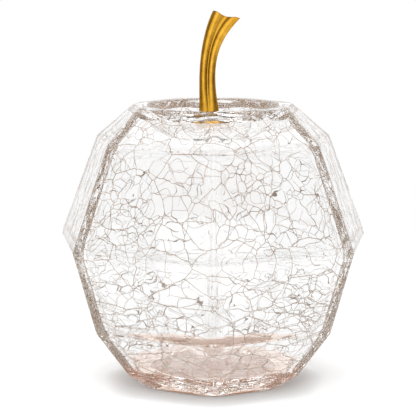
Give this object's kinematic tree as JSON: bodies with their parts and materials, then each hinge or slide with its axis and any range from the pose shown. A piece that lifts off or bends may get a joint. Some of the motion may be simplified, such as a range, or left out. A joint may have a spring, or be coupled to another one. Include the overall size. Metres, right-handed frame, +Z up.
{
  "type": "art glass apple ornament",
  "caption": "Hollow apple ornament in clear crackle glass with broad facets, a dished top and a curved gold-coloured metal stem, standing on a thin cork pad.",
  "frame": {"origin": "on the standing surface, at the middle of the cork pad and under the axis of the glass body", "axes": "+Z up; +X towards the side that the stem's tip leans to; -Y towards the viewer"},
  "size_m": [0.1254, 0.1238, 0.1507],
  "materials": {
    "crackle_glass": "clear, with a network of fine healed cracks",
    "satin_gold": "satin gold, cast",
    "pale_silicone": "satin, slightly milky",
    "cork": "fine grained, matt"
  },
  "bodies": {
    "root": {"glass_body": "crackle_glass", "stem": "satin_gold", "neck_plug": "pale_silicone", "base_pad": "cork"}
  },
  "joints": []
}
